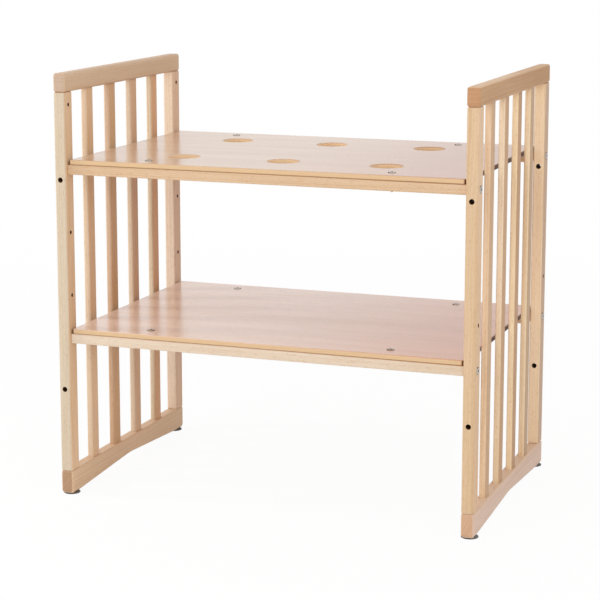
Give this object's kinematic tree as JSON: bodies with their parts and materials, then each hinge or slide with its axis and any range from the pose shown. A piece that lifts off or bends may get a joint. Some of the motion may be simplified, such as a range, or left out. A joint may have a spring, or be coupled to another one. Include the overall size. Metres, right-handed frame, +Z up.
{
  "type": "convertible crib",
  "caption": "Convertible crib in its open shelf form: slatted end panels with arched bottom rails carry a vented board and a plain board on bolted rails, on levelling feet.",
  "frame": {"origin": "On the floor, under the middle of the footprint", "axes": "+X along the boards to the right, +Y from front to rear, +Z up"},
  "size_m": [1, 0.644, 0.9813],
  "materials": {
    "panel_wood": "clear satin lacquer",
    "board_wood": "clear satin lacquer",
    "dowel_wood": "raw, fluted",
    "bright_steel": "zinc plated",
    "foot_plastic": "moulded"
  },
  "bodies": {
    "frame": {"left_top_rail": "panel_wood", "left_bottom_rail": "panel_wood", "left_front_post": "panel_wood", "left_rear_post": "panel_wood", "left_slat_1": "panel_wood", "left_slat_2": "panel_wood", "left_slat_3": "panel_wood", "left_slat_4": "panel_wood", "left_dowels": "dowel_wood", "right_top_rail": "panel_wood", "right_bottom_rail": "panel_wood", "right_front_post": "panel_wood", "right_rear_post": "panel_wood", "right_slat_1": "panel_wood", "right_slat_2": "panel_wood", "right_slat_3": "panel_wood", "right_slat_4": "panel_wood", "right_dowels": "dowel_wood", "upper_board": "board_wood", "upper_front_rail": "panel_wood", "upper_rear_rail": "panel_wood", "upper_connector_bolts": "bright_steel", "upper_barrel_nuts": "bright_steel", "upper_rail_dowels": "dowel_wood", "upper_board_bolts": "bright_steel", "upper_board_washers": "bright_steel", "upper_board_nuts": "bright_steel", "lower_board": "board_wood", "lower_front_rail": "panel_wood", "lower_rear_rail": "panel_wood", "lower_connector_bolts": "bright_steel", "lower_barrel_nuts": "bright_steel", "lower_rail_dowels": "dowel_wood", "lower_board_bolts": "bright_steel", "lower_board_washers": "bright_steel", "lower_board_nuts": "bright_steel", "foot_sleeves": "bright_steel"},
    "left_front_stem": {"left_front_stem": "bright_steel"},
    "left_front_pad": {"left_front_pad": "foot_plastic"},
    "left_rear_stem": {"left_rear_stem": "bright_steel"},
    "left_rear_pad": {"left_rear_pad": "foot_plastic"},
    "right_front_stem": {"right_front_stem": "bright_steel"},
    "right_front_pad": {"right_front_pad": "foot_plastic"},
    "right_rear_stem": {"right_rear_stem": "bright_steel"},
    "right_rear_pad": {"right_rear_pad": "foot_plastic"}
  },
  "joints": [
    {"name": "left_front_level", "type": "slide", "parent": "frame", "child": "left_front_stem", "axis": [0, 0, -1], "range_m": [0, 0.008]},
    {"name": "left_front_swivel", "type": "hinge", "parent": "left_front_stem", "child": "left_front_pad", "pos_m": [-0.4805, -0.296, 0.001], "axis": [0, 0, 1], "continuous": true},
    {"name": "left_rear_level", "type": "slide", "parent": "frame", "child": "left_rear_stem", "axis": [0, 0, -1], "range_m": [0, 0.008]},
    {"name": "left_rear_swivel", "type": "hinge", "parent": "left_rear_stem", "child": "left_rear_pad", "pos_m": [-0.4805, 0.296, 0.001], "axis": [0, 0, 1], "continuous": true},
    {"name": "right_front_level", "type": "slide", "parent": "frame", "child": "right_front_stem", "axis": [0, 0, -1], "range_m": [0, 0.008]},
    {"name": "right_front_swivel", "type": "hinge", "parent": "right_front_stem", "child": "right_front_pad", "pos_m": [0.4805, -0.296, 0.001], "axis": [0, 0, 1], "continuous": true},
    {"name": "right_rear_level", "type": "slide", "parent": "frame", "child": "right_rear_stem", "axis": [0, 0, -1], "range_m": [0, 0.008]},
    {"name": "right_rear_swivel", "type": "hinge", "parent": "right_rear_stem", "child": "right_rear_pad", "pos_m": [0.4805, 0.296, 0.001], "axis": [0, 0, 1], "continuous": true}
  ]
}
